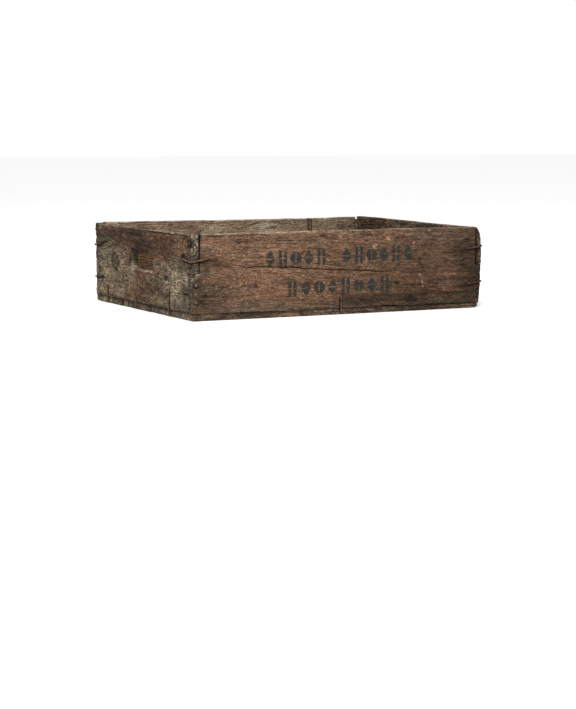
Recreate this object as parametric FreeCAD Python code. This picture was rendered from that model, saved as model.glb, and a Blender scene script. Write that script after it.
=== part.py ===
"""Shallow wooden fruit crate, nailed and stapled from sawn boards.  Millimetres.

X runs along the crate, -Y is the front long side, +Z is up.  The origin is on the
floor under the middle of the crate.  Each board, staple and group of nails is
written as its own STEP file.
"""
import FreeCAD, Part
import math
import os

Vector = FreeCAD.Vector

# Overall size, over the boards
LENGTH = 580.0
WIDTH = 475.0
SIDE_RIM_Z = 150.0
END_RIM_Z = 149.0

# Board thicknesses
SIDE_THICK = 12.0
END_THICK = {-1: 14.0, 1: 10.5}
BOTTOM_THICK = 10.0
EDGE_WEAR = 0.8

HALF_LENGTH = LENGTH / 2
HALF_WIDTH = WIDTH / 2
INNER_X = {side: HALF_LENGTH - thick for side, thick in END_THICK.items()}
INNER_Y = HALF_WIDTH - SIDE_THICK

# Corner joint: below the step the side board laps the end board, above it the
# end board laps the side board
STEP_Z = 81.0
JOINT_GAP = 0.5
FRONT_JOINT_GAPS = {-1: 2.5, 1: 1.0}
BACK_JOINT_GAPS = {-1: 0.5, 1: 0.5}

# Hand hole in each end board.  The front corners are tight, the rear ones round
HOLE_FRONT_Y = -62.0
HOLE_REAR_Y = 48.0
HOLE_LOW_Z = 74.0
HOLE_HIGH_Z = 104.0
HOLE_TIGHT_RADIUS = 4.0
HOLE_ROUND_RADIUS = 13.0

# Splintered corner at the back of the right end board
BREAK_Y = 220.5
BREAK_LOW_Z = 140.0
BREAK_OUTER_Z = 144.0

# Bottom boards: name, front edge, rear edge, left end, right end
BOTTOM_GAP = 1.5
FRONT_MIDDLE_SEAM_Y = -56.0
MIDDLE_REAR_SEAM_Y = 96.0
BOTTOM_BOARDS = [
    ("bottom_board_front", -HALF_WIDTH, FRONT_MIDDLE_SEAM_Y, -HALF_LENGTH, HALF_LENGTH),
    ("bottom_board_middle", FRONT_MIDDLE_SEAM_Y + BOTTOM_GAP, MIDDLE_REAR_SEAM_Y, -289.0, 288.5),
    ("bottom_board_rear", MIDDLE_REAR_SEAM_Y + BOTTOM_GAP, HALF_WIDTH, -291.0, 289.5),
]

# Wire staples
WIRE_RADIUS = 1.6
WIRE_BITE = 0.3
WIRE_LIFT = WIRE_RADIUS - WIRE_BITE
WIRE_BEND = 2.8
SIDE_LEG_DEPTH = 9.0
END_LEG_DEPTH = 9.0
UNDER_RUN = 22.0
UNDER_WIRE_Z = WIRE_RADIUS + 0.1
UNDER_LEG_TOP_Z = 8.5

# Corner staples: name, X side, Y side, reach on the side board, reach on the end
# board, heights at the side board tip, at the corner and at the end board tip
CORNER_STAPLES = [
    ("front_left_upper", -1, -1, 32.0, 36.0, 107.5, 102.0, 105.6),
    ("front_right_upper", 1, -1, 26.6, 30.0, 110.5, 114.4, 116.0),
    ("front_right_lower", 1, -1, 24.5, 28.0, 45.4, 48.6, 50.0),
    ("back_left_upper", -1, 1, 30.0, 34.0, 106.0, 108.0, 112.5),
    ("back_left_lower", -1, 1, 28.0, 40.0, 45.0, 46.5, 50.5),
    ("back_right_upper", 1, 1, 29.0, 33.0, 104.0, 107.0, 108.0),
    ("back_right_lower", 1, 1, 27.0, 30.0, 52.0, 49.0, 47.0),
]

# Staples that hold the bottom boards: name, face normal, place along the face,
# height of the upper leg
BOTTOM_STAPLES = [
    ("left_front", (-1, 0), -137.0, 43.0),
    ("left_middle", (-1, 0), 22.0, 18.0),
    ("left_rear", (-1, 0), 171.0, 33.0),
    ("right_front", (1, 0), -124.0, 38.0),
    ("right_middle", (1, 0), 14.0, 24.0),
    ("right_rear", (1, 0), 160.0, 31.0),
    ("front", (0, -1), 0.0, 30.6),
    ("back", (0, 1), 18.0, 33.0),
]

# Nails
NAIL_HEAD_RADIUS = 3.0
NAIL_HEAD_THICK = 0.9
NAIL_PROUD = 0.5
NAIL_RADIUS = 1.2
NAIL_POINT = 4.0
NAIL_LENGTH = 38.0
STRAP_NAIL_LENGTH = 9.0

# Nails through the lower tongues of the side boards, and through the upper
# tongues of the end boards: heights at each corner
SIDE_TONGUE_NAIL_X = {-1: 281.5, 1: 284.5}
SIDE_TONGUE_NAIL_HEIGHTS = {
    (-1, -1): [30.8, 61.6],
    (1, -1): [30.5, 64.9],
    (-1, 1): [29.0, 63.0],
    (1, 1): [32.0, 66.0],
}
END_TONGUE_NAIL_Y = 231.0
END_TONGUE_NAIL_HEIGHTS = {
    (-1, -1): [95.5, 134.6],
    (1, -1): [97.0, 129.0],
    (-1, 1): [96.0, 131.0],
    (1, 1): [94.0, 121.0],
}

# Nails up through the bottom boards
BOTTOM_END_NAIL_X = {-1: 283.0, 1: 284.5}
BOTTOM_END_NAIL_YS = [-190.0, -158.0, -84.0, -36.0, 70.0, 118.0, 190.0]
BOTTOM_SIDE_NAIL_Y = 231.5
BOTTOM_SIDE_NAIL_XS = [-235.0, -140.0, -60.0, 62.0, 150.0, 238.0]

# Steel strap folded over the rim of the back board
STRAP_X = 172.0
STRAP_WIDTH = 6.0
STRAP_THICK = 1.0
STRAP_INNER_LOW_Z = 108.0
STRAP_OUTER_LOW_Z = 118.0
STRAP_NAIL_Z = 125.0


def block(x0, x1, y0, y1, z0, z1):
    """Box between two corners."""
    return Part.makeBox(x1 - x0, y1 - y0, z1 - z0, Vector(x0, y0, z0))


def along_grain(edge, grain):
    """True for a straight edge that runs with the grain."""
    ends = edge.Vertexes[1].Point - edge.Vertexes[0].Point
    return abs(abs(ends.normalize().dot(grain)) - 1.0) < 1e-6


def ease_edges(board, grain):
    """Rounds the long edges of a board a little, as handling does."""
    edges = [edge for edge in board.Edges if along_grain(edge, grain)]
    return board.makeFillet(EDGE_WEAR, edges)


def side_board(side, gaps):
    """Front (side -1) or back (side 1) board, with a tongue at each lower corner."""
    near = side * HALF_WIDTH
    far = side * INNER_Y
    y0, y1 = min(near, far), max(near, far)
    lower = block(-HALF_LENGTH, HALF_LENGTH, y0, y1, BOTTOM_THICK, STEP_Z)
    left, right = -INNER_X[-1] + gaps[-1], INNER_X[1] - gaps[1]
    upper = block(left, right, y0, y1, STEP_Z, SIDE_RIM_Z)
    board = lower.fuse(upper).removeSplitter()
    return ease_edges(board, Vector(1, 0, 0))


def hand_hole(x0, x1):
    """The through cut of a hand hole: an upright slot with two tight and two round corners."""
    corners = [
        (HOLE_FRONT_Y, HOLE_LOW_Z, HOLE_TIGHT_RADIUS),
        (HOLE_REAR_Y, HOLE_LOW_Z, HOLE_ROUND_RADIUS),
        (HOLE_REAR_Y, HOLE_HIGH_Z, HOLE_ROUND_RADIUS),
        (HOLE_FRONT_Y, HOLE_HIGH_Z, HOLE_TIGHT_RADIUS),
    ]
    points = [Vector(x0, y, z) for y, z, radius in corners]
    radii = [radius for y, z, radius in corners]
    outline = rounded_path(points, radii, closed=True)
    return Part.Face(outline).extrude(Vector(x1 - x0, 0, 0))


def end_board(side):
    """Left (side -1) or right (side 1) board, with a tongue at each upper corner."""
    outer = side * HALF_LENGTH
    inner = side * INNER_X[side]
    x0, x1 = min(outer, inner), max(outer, inner)
    lower_half = INNER_Y - JOINT_GAP
    tongue_low = STEP_Z + JOINT_GAP
    lower = block(x0, x1, -lower_half, lower_half, BOTTOM_THICK, tongue_low)
    upper = block(x0, x1, -HALF_WIDTH, HALF_WIDTH, tongue_low, END_RIM_Z)
    board = lower.fuse(upper).removeSplitter()
    board = ease_edges(board, Vector(0, 1, 0))
    return board.cut(hand_hole(x0 - 1, x1 + 1))


def broken_corner():
    """The wedge of wood lost from the back upper corner of the right end board."""
    x0 = INNER_X[1] - 1
    outline = [
        Vector(x0, BREAK_Y, END_RIM_Z + 1),
        Vector(x0, BREAK_Y + 1.5, BREAK_LOW_Z),
        Vector(x0, HALF_WIDTH + 1, BREAK_OUTER_Z),
        Vector(x0, HALF_WIDTH + 1, END_RIM_Z + 1),
    ]
    face = Part.Face(Part.makePolygon(outline + outline[:1]))
    return face.extrude(Vector(END_THICK[1] + 2, 0, 0))


def bottom_board(y0, y1, x0, x1):
    """One lengthwise bottom board."""
    board = block(x0, x1, y0, y1, 0.0, BOTTOM_THICK)
    return ease_edges(board, Vector(1, 0, 0))


def bend_at(before, corner, after, radius):
    """Tangent arc that rounds one corner of a path: its start, middle and end."""
    back = (before - corner).normalize()
    ahead = (after - corner).normalize()
    half_angle = back.getAngle(ahead) / 2
    reach = radius / math.tan(half_angle)
    bisector = (back + ahead).normalize()
    centre = corner + bisector * (radius / math.sin(half_angle))
    return corner + back * reach, centre - bisector * radius, corner + ahead * reach


def rounded_path(points, radii, closed=False):
    """Wire through the points with each inner corner rounded to its radius."""
    count = len(points)
    corners = range(count) if closed else range(1, count - 1)
    arcs = [bend_at(points[i - 1], points[i], points[(i + 1) % count], radii[i]) for i in corners]
    edges = []
    place = arcs[-1][2] if closed else points[0]
    for start, middle, end in arcs:
        edges.append(Part.makeLine(place, start))
        edges.append(Part.Arc(start, middle, end).toShape())
        place = end
    if not closed:
        edges.append(Part.makeLine(place, points[-1]))
    return Part.Wire(edges)


def bent_wire(points):
    """Round wire bent along the points."""
    path = rounded_path(points, [WIRE_BEND] * len(points))
    section = Part.makeCircle(WIRE_RADIUS, points[0], points[1] - points[0])
    return path.makePipeShell([Part.Wire([section])], True, False)


def corner_staple(x_side, y_side, side_reach, end_reach, side_z, corner_z, end_z):
    """Staple hammered round a corner, one leg in the side board, one in the end board."""
    side_tip_x = x_side * (HALF_LENGTH - side_reach)
    end_tip_y = y_side * (HALF_WIDTH - end_reach)
    outside_x = x_side * (HALF_LENGTH + WIRE_LIFT)
    outside_y = y_side * (HALF_WIDTH + WIRE_LIFT)
    return bent_wire([
        Vector(side_tip_x, y_side * (HALF_WIDTH - SIDE_LEG_DEPTH), side_z),
        Vector(side_tip_x, outside_y, side_z),
        Vector(outside_x, outside_y, corner_z),
        Vector(outside_x, end_tip_y, end_z),
        Vector(x_side * (HALF_LENGTH - END_LEG_DEPTH), end_tip_y, end_z),
    ])


def face_point(normal, along, outward):
    """Point at a distance outside one of the four faces, at floor level."""
    normal_x, normal_y = normal
    if normal_x:
        return Vector(normal_x * (HALF_LENGTH + outward), along, 0)
    return Vector(along, normal_y * (HALF_WIDTH + outward), 0)


def bottom_staple(normal, along, top_z):
    """Staple from the face of a board, down and round the bottom edge, and up again."""
    leg_depth = END_LEG_DEPTH if normal[0] else SIDE_LEG_DEPTH
    inside = face_point(normal, along, -leg_depth)
    outside = face_point(normal, along, WIRE_LIFT)
    under = face_point(normal, along, -UNDER_RUN)
    return bent_wire([
        inside + Vector(0, 0, top_z),
        outside + Vector(0, 0, top_z),
        outside + Vector(0, 0, UNDER_WIRE_Z),
        under + Vector(0, 0, UNDER_WIRE_Z),
        under + Vector(0, 0, UNDER_LEG_TOP_Z),
    ])


def staple_groove(normal, along):
    """Open groove that the wire has pressed into the underside."""
    outer = face_point(normal, along, WIRE_LIFT + WIRE_RADIUS)
    inner = face_point(normal, along, -UNDER_RUN)
    sideways = Vector(abs(normal[1]), abs(normal[0]), 0) * WIRE_RADIUS
    low_x, high_x = sorted([outer.x, inner.x])
    low_y, high_y = sorted([outer.y, inner.y])
    return block(
        low_x - sideways.x, high_x + sideways.x, low_y - sideways.y, high_y + sideways.y,
        -1.0, UNDER_WIRE_Z)


def nail(point, direction, length=NAIL_LENGTH, proud=NAIL_PROUD):
    """Round nail driven from a surface point in the given direction."""
    head_low = NAIL_HEAD_THICK - proud
    profile = [
        Vector(0, 0, -proud),
        Vector(NAIL_HEAD_RADIUS, 0, -proud),
        Vector(NAIL_HEAD_RADIUS, 0, head_low),
        Vector(NAIL_RADIUS, 0, head_low),
        Vector(NAIL_RADIUS, 0, length - NAIL_POINT),
        Vector(0, 0, length),
    ]
    face = Part.Face(Part.makePolygon(profile + profile[:1]))
    body = face.revolve(Vector(0, 0, 0), Vector(0, 0, 1), 360)
    body.Placement = FreeCAD.Placement(point, FreeCAD.Rotation(Vector(0, 0, 1), direction))
    return body


def side_tongue_nails(x_side, y_side):
    """Nails through a side board's lower tongue into the end board."""
    x = x_side * SIDE_TONGUE_NAIL_X[x_side]
    heights = SIDE_TONGUE_NAIL_HEIGHTS[x_side, y_side]
    surface = y_side * HALF_WIDTH
    return [nail(Vector(x, surface, z), Vector(0, -y_side, 0)) for z in heights]


def end_tongue_nails(x_side, y_side):
    """Nails through an end board's upper tongue into the side board."""
    y = y_side * END_TONGUE_NAIL_Y
    heights = END_TONGUE_NAIL_HEIGHTS[x_side, y_side]
    surface = x_side * HALF_LENGTH
    return [nail(Vector(surface, y, z), Vector(-x_side, 0, 0)) for z in heights]


def bottom_end_nails(x_side):
    """Nails up through the bottom boards into an end board."""
    x = x_side * BOTTOM_END_NAIL_X[x_side]
    return [nail(Vector(x, y, 0), Vector(0, 0, 1), proud=0.0) for y in BOTTOM_END_NAIL_YS]


def bottom_side_nails(y_side):
    """Nails up through the outer bottom boards into a side board."""
    y = y_side * BOTTOM_SIDE_NAIL_Y
    return [nail(Vector(x, y, 0), Vector(0, 0, 1), proud=0.0) for x in BOTTOM_SIDE_NAIL_XS]


def rim_strap():
    """Flat steel strap folded over the rim of the back board."""
    x0 = STRAP_X - STRAP_WIDTH / 2
    x1 = STRAP_X + STRAP_WIDTH / 2
    inner_y = INNER_Y - STRAP_THICK
    outer_y = HALF_WIDTH + STRAP_THICK
    under_z = SIDE_RIM_Z - STRAP_THICK
    strap = block(x0, x1, inner_y, outer_y, STRAP_INNER_LOW_Z, SIDE_RIM_Z)
    strap = strap.cut(block(x0, x1, INNER_Y, HALF_WIDTH, STRAP_INNER_LOW_Z, under_z))
    return strap.cut(block(x0, x1, HALF_WIDTH, outer_y, STRAP_INNER_LOW_Z, STRAP_OUTER_LOW_Z))


def strap_nail():
    """Short nail through the outer leg of the strap."""
    point = Vector(STRAP_X, HALF_WIDTH + STRAP_THICK, STRAP_NAIL_Z)
    return nail(point, Vector(0, -1, 0), length=STRAP_NAIL_LENGTH)


def make_boards():
    """All boards, before the fasteners are driven in."""
    boards = {
        "front_side_board": side_board(-1, FRONT_JOINT_GAPS),
        "back_side_board": side_board(1, BACK_JOINT_GAPS),
        "left_end_board": end_board(-1),
        "right_end_board": end_board(1).cut(broken_corner()),
    }
    for name, y0, y1, x0, x1 in BOTTOM_BOARDS:
        boards[name] = bottom_board(y0, y1, x0, x1)
    return boards


def make_fasteners():
    """Every staple, strap and group of nails, as lists of solids."""
    fasteners = {}
    for name, *layout in CORNER_STAPLES:
        fasteners[f"corner_staple_{name}"] = [corner_staple(*layout)]
    for name, normal, along, top_z in BOTTOM_STAPLES:
        fasteners[f"bottom_staple_{name}"] = [bottom_staple(normal, along, top_z)]
    for x_side, x_name in ((-1, "left"), (1, "right")):
        fasteners[f"bottom_nails_{x_name}"] = bottom_end_nails(x_side)
        for y_side, y_name in ((-1, "front"), (1, "back")):
            corner = f"{y_name}_{x_name}"
            fasteners[f"side_tongue_nails_{corner}"] = side_tongue_nails(x_side, y_side)
            fasteners[f"end_tongue_nails_{corner}"] = end_tongue_nails(x_side, y_side)
    fasteners["bottom_nails_front"] = bottom_side_nails(-1)
    fasteners["bottom_nails_back"] = bottom_side_nails(1)
    fasteners["rim_strap_nail"] = [strap_nail()]
    fasteners["back_rim_strap"] = [rim_strap().cut(strap_nail())]
    return fasteners


def drive_in(board, tools):
    """Cuts the room for each fastener that reaches into a board."""
    box = board.BoundBox
    near = [tool for tool in tools if box.intersect(tool.BoundBox)]
    return board.cut(near)


def export(name, solids):
    """Writes one node, a single solid or a group of them."""
    shape = solids[0] if len(solids) == 1 else Part.makeCompound(solids)
    shape.exportStep(f"parts/{name}.step")


def main():
    os.makedirs("parts", exist_ok=True)
    fasteners = make_fasteners()
    tools = [solid for solids in fasteners.values() for solid in solids]
    tools += [staple_groove(normal, along) for name, normal, along, top_z in BOTTOM_STAPLES]
    for name, board in make_boards().items():
        export(name, drive_in(board, tools).Solids)
    for name, solids in fasteners.items():
        export(name, solids)


main()
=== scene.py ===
"""Weathered wooden fruit crate on a pale studio floor.

Every board is rebuilt as a dense mesh with real wood relief: worn edges, grain ridges,
knots, cracks, chips and nail dents.  One solid wood field per board drives both that
relief and the colours, so ridges and growth rings line up on every face.  Lengths are
in metres; the marks and patches on the boards are listed in mm.
"""
import math

import bmesh
import bpy
import numpy as np
from mathutils import Matrix, Vector, kdtree


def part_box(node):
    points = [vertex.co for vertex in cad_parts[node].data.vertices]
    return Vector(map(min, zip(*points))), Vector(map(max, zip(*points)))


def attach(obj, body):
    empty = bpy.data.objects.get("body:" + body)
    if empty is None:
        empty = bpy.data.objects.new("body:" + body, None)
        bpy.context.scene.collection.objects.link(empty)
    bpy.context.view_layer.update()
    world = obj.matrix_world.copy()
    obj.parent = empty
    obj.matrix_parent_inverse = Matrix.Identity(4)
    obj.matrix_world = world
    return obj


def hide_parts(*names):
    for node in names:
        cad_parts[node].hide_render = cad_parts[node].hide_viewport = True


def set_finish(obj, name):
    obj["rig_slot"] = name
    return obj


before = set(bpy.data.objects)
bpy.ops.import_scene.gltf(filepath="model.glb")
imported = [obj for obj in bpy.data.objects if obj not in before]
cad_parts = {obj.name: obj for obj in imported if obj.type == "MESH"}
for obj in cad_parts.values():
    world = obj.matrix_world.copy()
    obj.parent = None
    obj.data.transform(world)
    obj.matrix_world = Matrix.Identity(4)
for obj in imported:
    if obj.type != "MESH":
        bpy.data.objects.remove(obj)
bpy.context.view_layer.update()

MM = 0.001

# Joints and openings of the boards, as built
STEP_Z = 81.0 * MM
JOINT_GAP = 0.5 * MM
LEFT_THICK = 14.0 * MM
RIGHT_THICK = 10.5 * MM
SIDE_THICK = 12.0 * MM
BOTTOM_THICK = 10.0 * MM
HOLE_FRONT_Y = -62.0 * MM
HOLE_REAR_Y = 48.0 * MM
HOLE_LOW_Z = 74.0 * MM
HOLE_HIGH_Z = 104.0 * MM
HOLE_TIGHT_RADIUS = 4.0 * MM
HOLE_ROUND_RADIUS = 13.0 * MM
HOLE_MIDDLE_Z = (HOLE_LOW_Z + HOLE_HIGH_Z) / 2
HALF_LENGTH = 290.0 * MM
HALF_WIDTH = 237.5 * MM
END_RIM_Z = 149.0 * MM
SIDE_RIM_Z = 150.0 * MM

# Mesh density of the boards, across the grain and how much longer along it, and of the
# metal, with the depth of its rust pits
VOXEL = 0.95 * MM
GRAIN_STRETCH = 1.8
METAL_VOXEL = 0.45 * MM
PIT_DEPTH = 0.10 * MM

# Distances from a board to the metal are measured to every third vertex of the metal
CLOUD_STEP = 3

# The seam over the bottom boards drops a little towards the right end
SEAM_DROP = 2.0 * MM
SEAM_REACH = 40.0 * MM

# The front right corner leans out and bulges, and is worn round above and below a height
CORNER_LEAN = 3.4 * MM
CORNER_BULGE = 1.6 * MM
BULGE_Z = 97.0 * MM
CORNER_RIM_LOSS = 9.5 * MM
CORNER_FLOOR_LOSS = 8.0 * MM
RIM_LOSS_Z = 130.0 * MM
FLOOR_LOSS_Z = 12.0 * MM

# How much higher the warped rims stand than straight boards would
BACK_LEFT_RISE = 2.0 * MM
BACK_RIGHT_RISE = 1.6 * MM
RIGHT_REAR_RISE = 3.6 * MM

# Hands rub the rims between the end boards, and the wood this far round the hand holes
RUBBED_RIM_REACH = 271.0 * MM
RUBBED_HOLE_REACH_Y = 70.0 * MM
RUBBED_HOLE_REACH_Z = 25.0 * MM

# Random chips on the edges and dents on the faces, and how strongly the chosen marks show
EDGE_CHIPS = 60
MARKS_PER_SQUARE_MM = 0.010
MARK_CONTRAST = 1.4

# Natural logarithms of the darkest and the lightest tone on a board
DARKEST_TONE = -2.2
LIGHTEST_TONE = 1.1


# ---------------- noise

def lattice_value(ix, iy, iz, seed):
    """Repeatable random value from 0 to 1 at whole-number points."""
    mixed = (ix * 374761393 + iy * 668265263 + iz * 1442695041 + seed * 97531) & 0xFFFFFFFF
    mixed = ((mixed ^ (mixed >> 13)) * 1274126177) & 0xFFFFFFFF
    mixed = mixed ^ (mixed >> 16)
    return (mixed & 0xFFFFFF) / 0xFFFFFF


def noise(points, seed):
    """Smooth value noise from -1 to 1 at each row of points."""
    cell = np.floor(points).astype(np.int64)
    part = points - cell
    part = part * part * (3 - 2 * part)
    total = np.zeros(len(points))
    for corner in range(8):
        dx, dy, dz = corner & 1, (corner >> 1) & 1, corner >> 2
        weight = (
            (part[:, 0] if dx else 1 - part[:, 0])
            * (part[:, 1] if dy else 1 - part[:, 1])
            * (part[:, 2] if dz else 1 - part[:, 2])
        )
        total += weight * lattice_value(cell[:, 0] + dx, cell[:, 1] + dy, cell[:, 2] + dz, seed)
    return total * 2 - 1


def smooth_step(value, low, high):
    """0 below low, 1 above high, smooth between."""
    part = np.clip((value - low) / (high - low), 0, 1)
    return part * part * (3 - 2 * part)


def ramp(value, low, high):
    """The smooth step of a length, with its limits in mm."""
    return smooth_step(value, low * MM, high * MM)


def fade(distance, reach):
    """1 at no distance, fading over a reach in mm."""
    return np.exp(-(distance / (reach * MM)) ** 2)


def patch(local, u, v, reach_u, reach_v):
    """1 in the middle of an elliptical patch given in mm, fading outwards."""
    spread = ((local[:, 0] / MM - u) / reach_u) ** 2 + ((local[:, 1] / MM - v) / reach_v) ** 2
    return np.exp(-spread)


def blobs(local, patches):
    """Sum of soft patches (u, v, reach along u, reach along v, strength)."""
    total = np.zeros(len(local))
    for *place, strength in patches:
        total += strength * patch(local, *place)
    return total


# ---------------- outlines

def arc_points(centre, radius, start, end, steps=6):
    """Points along an arc, angles in degrees."""
    angles = np.radians(np.linspace(start, end, steps))
    return [(centre[0] + radius * math.cos(a), centre[1] + radius * math.sin(a)) for a in angles]


def hand_hole_loop():
    """Outline of a hand hole, tight corners at the front and round ones at the rear."""
    tight, rounded = HOLE_TIGHT_RADIUS, HOLE_ROUND_RADIUS
    front, rear = HOLE_FRONT_Y + tight, HOLE_REAR_Y - rounded
    loop = arc_points((front, HOLE_HIGH_Z - tight), tight, 90, 180, 4)
    loop += arc_points((front, HOLE_LOW_Z + tight), tight, 180, 270, 4)
    loop += arc_points((rear, HOLE_LOW_Z + rounded), rounded, 270, 360)
    loop += arc_points((rear, HOLE_HIGH_Z - rounded), rounded, 0, 90)
    return loop[::-1]


def side_board_loop(left_gap, right_gap, left_slant=0.0, right_slant=0.0):
    """Side board: full length below the step, between the end boards above it.

    A slant widens its gap at the rim and narrows it at the step.
    """
    left = -HALF_LENGTH + LEFT_THICK + left_gap
    right = HALF_LENGTH - RIGHT_THICK - right_gap
    return [
        (-HALF_LENGTH, BOTTOM_THICK), (HALF_LENGTH, BOTTOM_THICK),
        (HALF_LENGTH, STEP_Z), (right + right_slant, STEP_Z), (right - right_slant, SIDE_RIM_Z),
        (left + left_slant, SIDE_RIM_Z), (left - left_slant, STEP_Z), (-HALF_LENGTH, STEP_Z),
    ]


def end_board_loop(rear_corner):
    """End board: between the side boards below the step, full width above it."""
    inner = HALF_WIDTH - SIDE_THICK - JOINT_GAP
    return [
        (-inner, BOTTOM_THICK), (inner, BOTTOM_THICK), (inner, STEP_Z), (HALF_WIDTH, STEP_Z),
        *rear_corner,
        (-HALF_WIDTH, END_RIM_Z), (-HALF_WIDTH, STEP_Z), (-inner, STEP_Z),
    ]


def from_mm(*points):
    """Points of an outline that are given in mm."""
    return [(u * MM, v * MM) for u, v in points]


# Rear upper corners of the end boards
SQUARE_CORNER = [(HALF_WIDTH, END_RIM_Z)]
BROKEN_CORNER = from_mm(
    (237.5, 144), (234, 141), (231.5, 142.5), (228.5, 139.5), (226.5, 141.5), (224.5, 138.5),
    (223.4, 140.5), (223.4, 149))


def rectangle_loop(low, high):
    """Rectangle between two corners."""
    return [(low[0], low[1]), (high[0], low[1]), (high[0], high[1]), (low[0], high[1])]


def from_segment(flat, start, end):
    """Where each point lies beside a straight line: along, offset, distance; and its left."""
    side = end - start
    length = np.hypot(*side)
    side = side / length
    along = np.clip((flat - start) @ side, 0, length)
    offset = flat - (start + along[:, None] * side)
    return along, offset, np.hypot(offset[:, 0], offset[:, 1]), np.array([-side[1], side[0]])


def outline_distance(flat, loops):
    """Distance of each point from the nearest outline, and the way into the wood."""
    best = np.full(len(flat), 1e9)
    away = np.zeros_like(flat)
    for loop in loops:
        corners = np.array(loop)
        for start, end in zip(corners, np.roll(corners, -1, axis=0)):
            _, offset, distance, inward = from_segment(flat, start, end)
            nearer = distance < best
            best = np.where(nearer, distance, best)
            away = np.where(nearer[:, None], offset + inward * 0.2 * MM, away)
    away /= np.maximum(np.hypot(away[:, 0], away[:, 1]), 1e-9)[:, None]
    return best, away


# ---------------- boards

class Board:
    """One board: where it lies, how its tree grew, and what has happened to it.

    u runs along the crate's side or end, v across it, and w out of the outer face.  The
    lists are in mm and degrees.  A patch is (u, v, reach along u, reach along v, strength).
    """

    # The tree: its heart in v and w in metres, how that drifts along u, its growth rings,
    # and how dark a line borders its knots
    pith = (0.06, -0.03)
    pith_slope = (0.0, 0.0)
    ring_pitch = 3.6 * MM
    knot_border = 0.0

    # (u, v, radius, push on the rings, reach along u, reach along v)
    knots = ()

    # Patches: pushed rings, bleaching, dirt, lightness, and rounding of the outer edges
    bends = ()
    weathered = ()
    dirty = ()
    shaded = ()
    worn_edges = ()

    # (points, width, depth, face), face 1 outside, -1 inside and 0 both
    cracks = ()

    # Ellipsoids (u, v, w, reach along u, v and w)
    chips = ()

    # (u, v, half length, half width, tone, depth, tilt), the last two 0 if left out; tone
    # is the natural logarithm of how much lighter the mark is, depth how far it is sunk
    marks = ()
    inner_marks = ()

    # How bleached and how blotchy it is, its dark joints, its cut ends, its edges, its ink
    weather = 0.4
    mottle = 1.2
    joint_width = 0.8 * MM
    pale_ends = 1.0
    edge_radius = 1.6 * MM
    ink = None

    def __init__(self, node, slot, loops, axes, middle, thickness, seed):
        self.node = node
        self.slot = slot
        self.loops = loops
        self.axes = np.array(axes, float)
        self.middle = middle
        self.thickness = thickness
        self.seed = seed

    def to_local(self, points):
        """Crate coordinates to board coordinates."""
        local = points @ self.axes.T
        local[:, 2] -= self.middle
        return local

    def to_crate(self, local):
        """Board coordinates to crate coordinates."""
        placed = local.copy()
        placed[:, 2] += self.middle
        return placed @ self.axes

    def exposed(self, local):
        """1 where an edge is open to handling, 0 where it is shut in a joint."""
        u, v = local[:, 0], local[:, 1]
        if self.slot == "bottom_wood":
            return np.ones(len(local))
        rim = ramp(v - SIDE_RIM_Z, -12, -5)
        reach = np.max(np.array(self.loops[0])[:, 0])
        corner = 0.7 * ramp(np.abs(u) - reach, -5, -2)
        if self.slot == "side_wood":
            rim *= np.abs(u) < RUBBED_RIM_REACH
        return np.maximum.reduce([rim, corner, self.by_hole(local)])

    def by_hole(self, local):
        """1 round the hand hole of an end board."""
        beside = np.abs(local[:, 0]) < RUBBED_HOLE_REACH_Y
        level = np.abs(local[:, 1] - HOLE_MIDDLE_Z) < RUBBED_HOLE_REACH_Z
        return beside & level & (self.slot == "end_wood")

    def noise(self, points, size, draw):
        """Noise of this board's own, for cells of a given size in mm."""
        return noise(points / (size * MM), self.seed + draw)

    def streaks(self, grain, length, width, draw):
        """Noise drawn out along the grain, for cells of a given length and width in mm."""
        cell = np.array([length, width, width])
        return self.noise(grain, cell, draw) + self.noise(grain, cell / 2, draw + 1) / 2


def slab(board):
    """Closed plain slab of the board's outline, in crate coordinates."""
    shape = bmesh.new()
    half = board.thickness / 2
    for loop in board.loops:
        flat = np.array([(u, v, -half) for u, v in loop])
        corners = [shape.verts.new(place) for place in board.to_crate(flat)]
        for first, second in zip(corners, corners[1:] + corners[:1]):
            shape.edges.new((first, second))
    bmesh.ops.triangle_fill(shape, edges=shape.edges[:], use_beauty=True)
    made = bmesh.ops.extrude_face_region(shape, geom=shape.faces[:])
    moved = [item for item in made["geom"] if isinstance(item, bmesh.types.BMVert)]
    bmesh.ops.translate(shape, verts=moved, vec=Vector(board.axes[2] * board.thickness))
    bmesh.ops.recalc_face_normals(shape, faces=shape.faces[:])
    mesh = bpy.data.meshes.new(board.node + "_slab")
    shape.to_mesh(mesh)
    shape.free()
    return mesh


def new_object(name, data):
    """A new object in the scene."""
    made = bpy.data.objects.new(name, data)
    bpy.context.scene.collection.objects.link(made)
    return made


def remeshed(mesh, voxel):
    """The same closed surface as an even mesh of small squares."""
    holder = new_object("remesh_holder", mesh)
    modifier = holder.modifiers.new("even", "REMESH")
    modifier.mode = "VOXEL"
    modifier.voxel_size = voxel
    graph = bpy.context.evaluated_depsgraph_get()
    fine = bpy.data.meshes.new_from_object(holder.evaluated_get(graph), depsgraph=graph)
    bpy.data.objects.remove(holder)
    bpy.data.meshes.remove(mesh)
    return fine


def read_points(mesh):
    """Vertex places as an array."""
    flat = np.empty(len(mesh.vertices) * 3)
    mesh.vertices.foreach_get("co", flat)
    return flat.reshape(-1, 3)


def read_normals(mesh):
    """Vertex normals as an array."""
    flat = np.empty(len(mesh.vertices) * 3, np.float32)
    mesh.vertex_normals.foreach_get("vector", flat)
    return flat.reshape(-1, 3).astype(float)


def write_points(mesh, points):
    """Moves the vertices."""
    mesh.vertices.foreach_set("co", points.ravel())
    mesh.update()


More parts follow.
